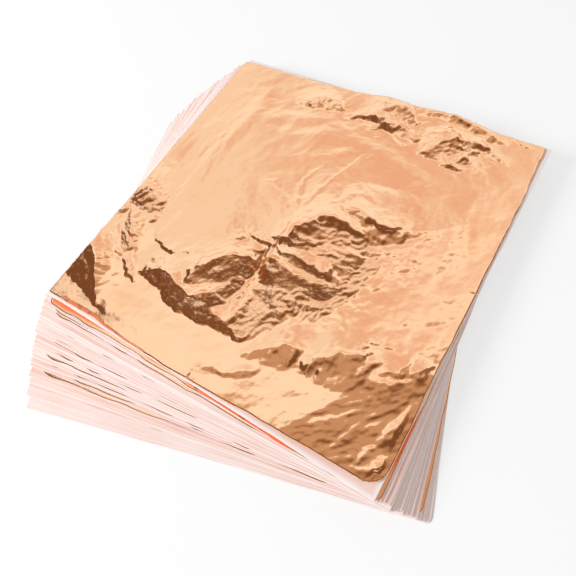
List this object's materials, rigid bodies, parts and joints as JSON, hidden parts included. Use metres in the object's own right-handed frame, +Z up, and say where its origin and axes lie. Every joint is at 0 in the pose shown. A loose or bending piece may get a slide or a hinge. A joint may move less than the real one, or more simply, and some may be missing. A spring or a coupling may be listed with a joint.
{
  "type": "copper leaf booklet",
  "caption": "Loose square pad of thin copper leaves interleaved with tissue sheets, fanned about one edge, with a crumpled leaf on top ready to lift off for gilding.",
  "frame": {"origin": "middle of the lowest tissue's underside, on the surface the pad lies on", "axes": "+Z up out of the pad; +X along the lowest tissue's front edge towards the side the fan turns about; +Y to its back edge"},
  "size_m": [0.1763, 0.1781, 0.0137],
  "materials": {
    "copper_leaf": "polished",
    "tissue": "matte"
  },
  "bodies": {
    "pair_25": {"leaf_25": "copper_leaf", "tissue_25": "tissue"},
    "pair_24": {"leaf_24": "copper_leaf", "tissue_24": "tissue"},
    "pair_23": {"leaf_23": "copper_leaf", "tissue_23": "tissue"},
    "pair_22": {"leaf_22": "copper_leaf", "tissue_22": "tissue"},
    "pair_21": {"leaf_21": "copper_leaf", "tissue_21": "tissue"},
    "pair_20": {"leaf_20": "copper_leaf", "tissue_20": "tissue"},
    "pair_19": {"leaf_19": "copper_leaf", "tissue_19": "tissue"},
    "pair_18": {"leaf_18": "copper_leaf", "tissue_18": "tissue"},
    "pair_17": {"leaf_17": "copper_leaf", "tissue_17": "tissue"},
    "pair_16": {"leaf_16": "copper_leaf", "tissue_16": "tissue"},
    "pair_15": {"leaf_15": "copper_leaf", "tissue_15": "tissue"},
    "pair_14": {"leaf_14": "copper_leaf", "tissue_14": "tissue"},
    "pair_13": {"leaf_13": "copper_leaf", "tissue_13": "tissue"},
    "pair_12": {"leaf_12": "copper_leaf", "tissue_12": "tissue"},
    "pair_11": {"leaf_11": "copper_leaf", "tissue_11": "tissue"},
    "pair_10": {"leaf_10": "copper_leaf", "tissue_10": "tissue"},
    "pair_09": {"leaf_09": "copper_leaf", "tissue_09": "tissue"},
    "pair_08": {"leaf_08": "copper_leaf", "tissue_08": "tissue"},
    "pair_07": {"leaf_07": "copper_leaf", "tissue_07": "tissue"},
    "pair_06": {"leaf_06": "copper_leaf", "tissue_06": "tissue"},
    "pair_05": {"leaf_05": "copper_leaf", "tissue_05": "tissue"},
    "pair_04": {"leaf_04": "copper_leaf", "tissue_04": "tissue"},
    "pair_03": {"leaf_03": "copper_leaf", "tissue_03": "tissue"},
    "pair_02": {"leaf_02": "copper_leaf", "tissue_02": "tissue"},
    "pair_01": {"tissue_01": "tissue"},
    "top_leaf": {"leaf_01": "copper_leaf"}
  },
  "joints": [
    {"name": "fan_01", "type": "hinge", "parent": "pair_25", "child": "pair_01", "pos_m": [0.0659, -0.0175, 0], "axis": [0, 0, 1], "range_deg": [-30, 16.7]},
    {"name": "fan_02", "type": "hinge", "parent": "pair_25", "child": "pair_02", "pos_m": [0.0659, -0.0175, 0], "axis": [0, 0, 1], "range_deg": [-28.9, 16.1]},
    {"name": "fan_03", "type": "hinge", "parent": "pair_25", "child": "pair_03", "pos_m": [0.0659, -0.0175, 0], "axis": [0, 0, 1], "range_deg": [-27.6, 15.4]},
    {"name": "fan_04", "type": "hinge", "parent": "pair_25", "child": "pair_04", "pos_m": [0.0659, -0.0175, 0], "axis": [0, 0, 1], "range_deg": [-26.4, 14.7]},
    {"name": "fan_05", "type": "hinge", "parent": "pair_25", "child": "pair_05", "pos_m": [0.0659, -0.0175, 0], "axis": [0, 0, 1], "range_deg": [-25.1, 14]},
    {"name": "fan_06", "type": "hinge", "parent": "pair_25", "child": "pair_06", "pos_m": [0.0659, -0.0175, 0], "axis": [0, 0, 1], "range_deg": [-23.9, 13.3]},
    {"name": "fan_07", "type": "hinge", "parent": "pair_25", "child": "pair_07", "pos_m": [0.0659, -0.0175, 0], "axis": [0, 0, 1], "range_deg": [-22.6, 12.6]},
    {"name": "fan_08", "type": "hinge", "parent": "pair_25", "child": "pair_08", "pos_m": [0.0659, -0.0175, 0], "axis": [0, 0, 1], "range_deg": [-21.4, 11.9]},
    {"name": "fan_09", "type": "hinge", "parent": "pair_25", "child": "pair_09", "pos_m": [0.0659, -0.0175, 0], "axis": [0, 0, 1], "range_deg": [-20.1, 11.2]},
    {"name": "fan_10", "type": "hinge", "parent": "pair_25", "child": "pair_10", "pos_m": [0.0659, -0.0175, 0], "axis": [0, 0, 1], "range_deg": [-18.9, 10.5]},
    {"name": "fan_11", "type": "hinge", "parent": "pair_25", "child": "pair_11", "pos_m": [0.0659, -0.0175, 0], "axis": [0, 0, 1], "range_deg": [-17.6, 9.8]},
    {"name": "fan_12", "type": "hinge", "parent": "pair_25", "child": "pair_12", "pos_m": [0.0659, -0.0175, 0], "axis": [0, 0, 1], "range_deg": [-16.4, 9.1]},
    {"name": "fan_13", "type": "hinge", "parent": "pair_25", "child": "pair_13", "pos_m": [0.0659, -0.0175, 0], "axis": [0, 0, 1], "range_deg": [-15.1, 8.4]},
    {"name": "fan_14", "type": "hinge", "parent": "pair_25", "child": "pair_14", "pos_m": [0.0659, -0.0175, 0], "axis": [0, 0, 1], "range_deg": [-13.8, 7.8]},
    {"name": "fan_15", "type": "hinge", "parent": "pair_25", "child": "pair_15", "pos_m": [0.0659, -0.0175, 0], "axis": [0, 0, 1], "range_deg": [-12.6, 7.1]},
    {"name": "fan_16", "type": "hinge", "parent": "pair_25", "child": "pair_16", "pos_m": [0.0659, -0.0175, 0], "axis": [0, 0, 1], "range_deg": [-11.3, 6.4]},
    {"name": "fan_17", "type": "hinge", "parent": "pair_25", "child": "pair_17", "pos_m": [0.0659, -0.0175, 0], "axis": [0, 0, 1], "range_deg": [-10.1, 5.7]},
    {"name": "fan_18", "type": "hinge", "parent": "pair_25", "child": "pair_18", "pos_m": [0.0659, -0.0175, 0], "axis": [0, 0, 1], "range_deg": [-8.8, 5]},
    {"name": "fan_19", "type": "hinge", "parent": "pair_25", "child": "pair_19", "pos_m": [0.0659, -0.0175, 0], "axis": [0, 0, 1], "range_deg": [-7.6, 4.3]},
    {"name": "fan_20", "type": "hinge", "parent": "pair_25", "child": "pair_20", "pos_m": [0.0659, -0.0175, 0], "axis": [0, 0, 1], "range_deg": [-6.3, 3.6]},
    {"name": "fan_21", "type": "hinge", "parent": "pair_25", "child": "pair_21", "pos_m": [0.0659, -0.0175, 0], "axis": [0, 0, 1], "range_deg": [-5.1, 2.9]},
    {"name": "fan_22", "type": "hinge", "parent": "pair_25", "child": "pair_22", "pos_m": [0.0659, -0.0175, 0], "axis": [0, 0, 1], "range_deg": [-3.9, 2.2]},
    {"name": "fan_23", "type": "hinge", "parent": "pair_25", "child": "pair_23", "pos_m": [0.0659, -0.0175, 0], "axis": [0, 0, 1], "range_deg": [-2.6, 1.5]},
    {"name": "fan_24", "type": "hinge", "parent": "pair_25", "child": "pair_24", "pos_m": [0.0659, -0.0175, 0], "axis": [0, 0, 1], "range_deg": [-1.4, 0.8]},
    {"name": "leaf_lift", "type": "slide", "parent": "pair_01", "child": "top_leaf", "axis": [0, 0, 1], "range_m": [0, 0.05]}
  ],
  "couplings": [
    {"joint": "fan_02", "follows": "fan_01", "ratio": 0.95833},
    {"joint": "fan_03", "follows": "fan_01", "ratio": 0.91667},
    {"joint": "fan_04", "follows": "fan_01", "ratio": 0.875},
    {"joint": "fan_05", "follows": "fan_01", "ratio": 0.83333},
    {"joint": "fan_06", "follows": "fan_01", "ratio": 0.79167},
    {"joint": "fan_07", "follows": "fan_01", "ratio": 0.75},
    {"joint": "fan_08", "follows": "fan_01", "ratio": 0.70833},
    {"joint": "fan_09", "follows": "fan_01", "ratio": 0.66667},
    {"joint": "fan_10", "follows": "fan_01", "ratio": 0.625},
    {"joint": "fan_11", "follows": "fan_01", "ratio": 0.58333},
    {"joint": "fan_12", "follows": "fan_01", "ratio": 0.54167},
    {"joint": "fan_13", "follows": "fan_01", "ratio": 0.5},
    {"joint": "fan_14", "follows": "fan_01", "ratio": 0.45833},
    {"joint": "fan_15", "follows": "fan_01", "ratio": 0.41667},
    {"joint": "fan_16", "follows": "fan_01", "ratio": 0.375},
    {"joint": "fan_17", "follows": "fan_01", "ratio": 0.33333},
    {"joint": "fan_18", "follows": "fan_01", "ratio": 0.29167},
    {"joint": "fan_19", "follows": "fan_01", "ratio": 0.25},
    {"joint": "fan_20", "follows": "fan_01", "ratio": 0.20833},
    {"joint": "fan_21", "follows": "fan_01", "ratio": 0.16667},
    {"joint": "fan_22", "follows": "fan_01", "ratio": 0.125},
    {"joint": "fan_23", "follows": "fan_01", "ratio": 0.083333},
    {"joint": "fan_24", "follows": "fan_01", "ratio": 0.041667}
  ]
}
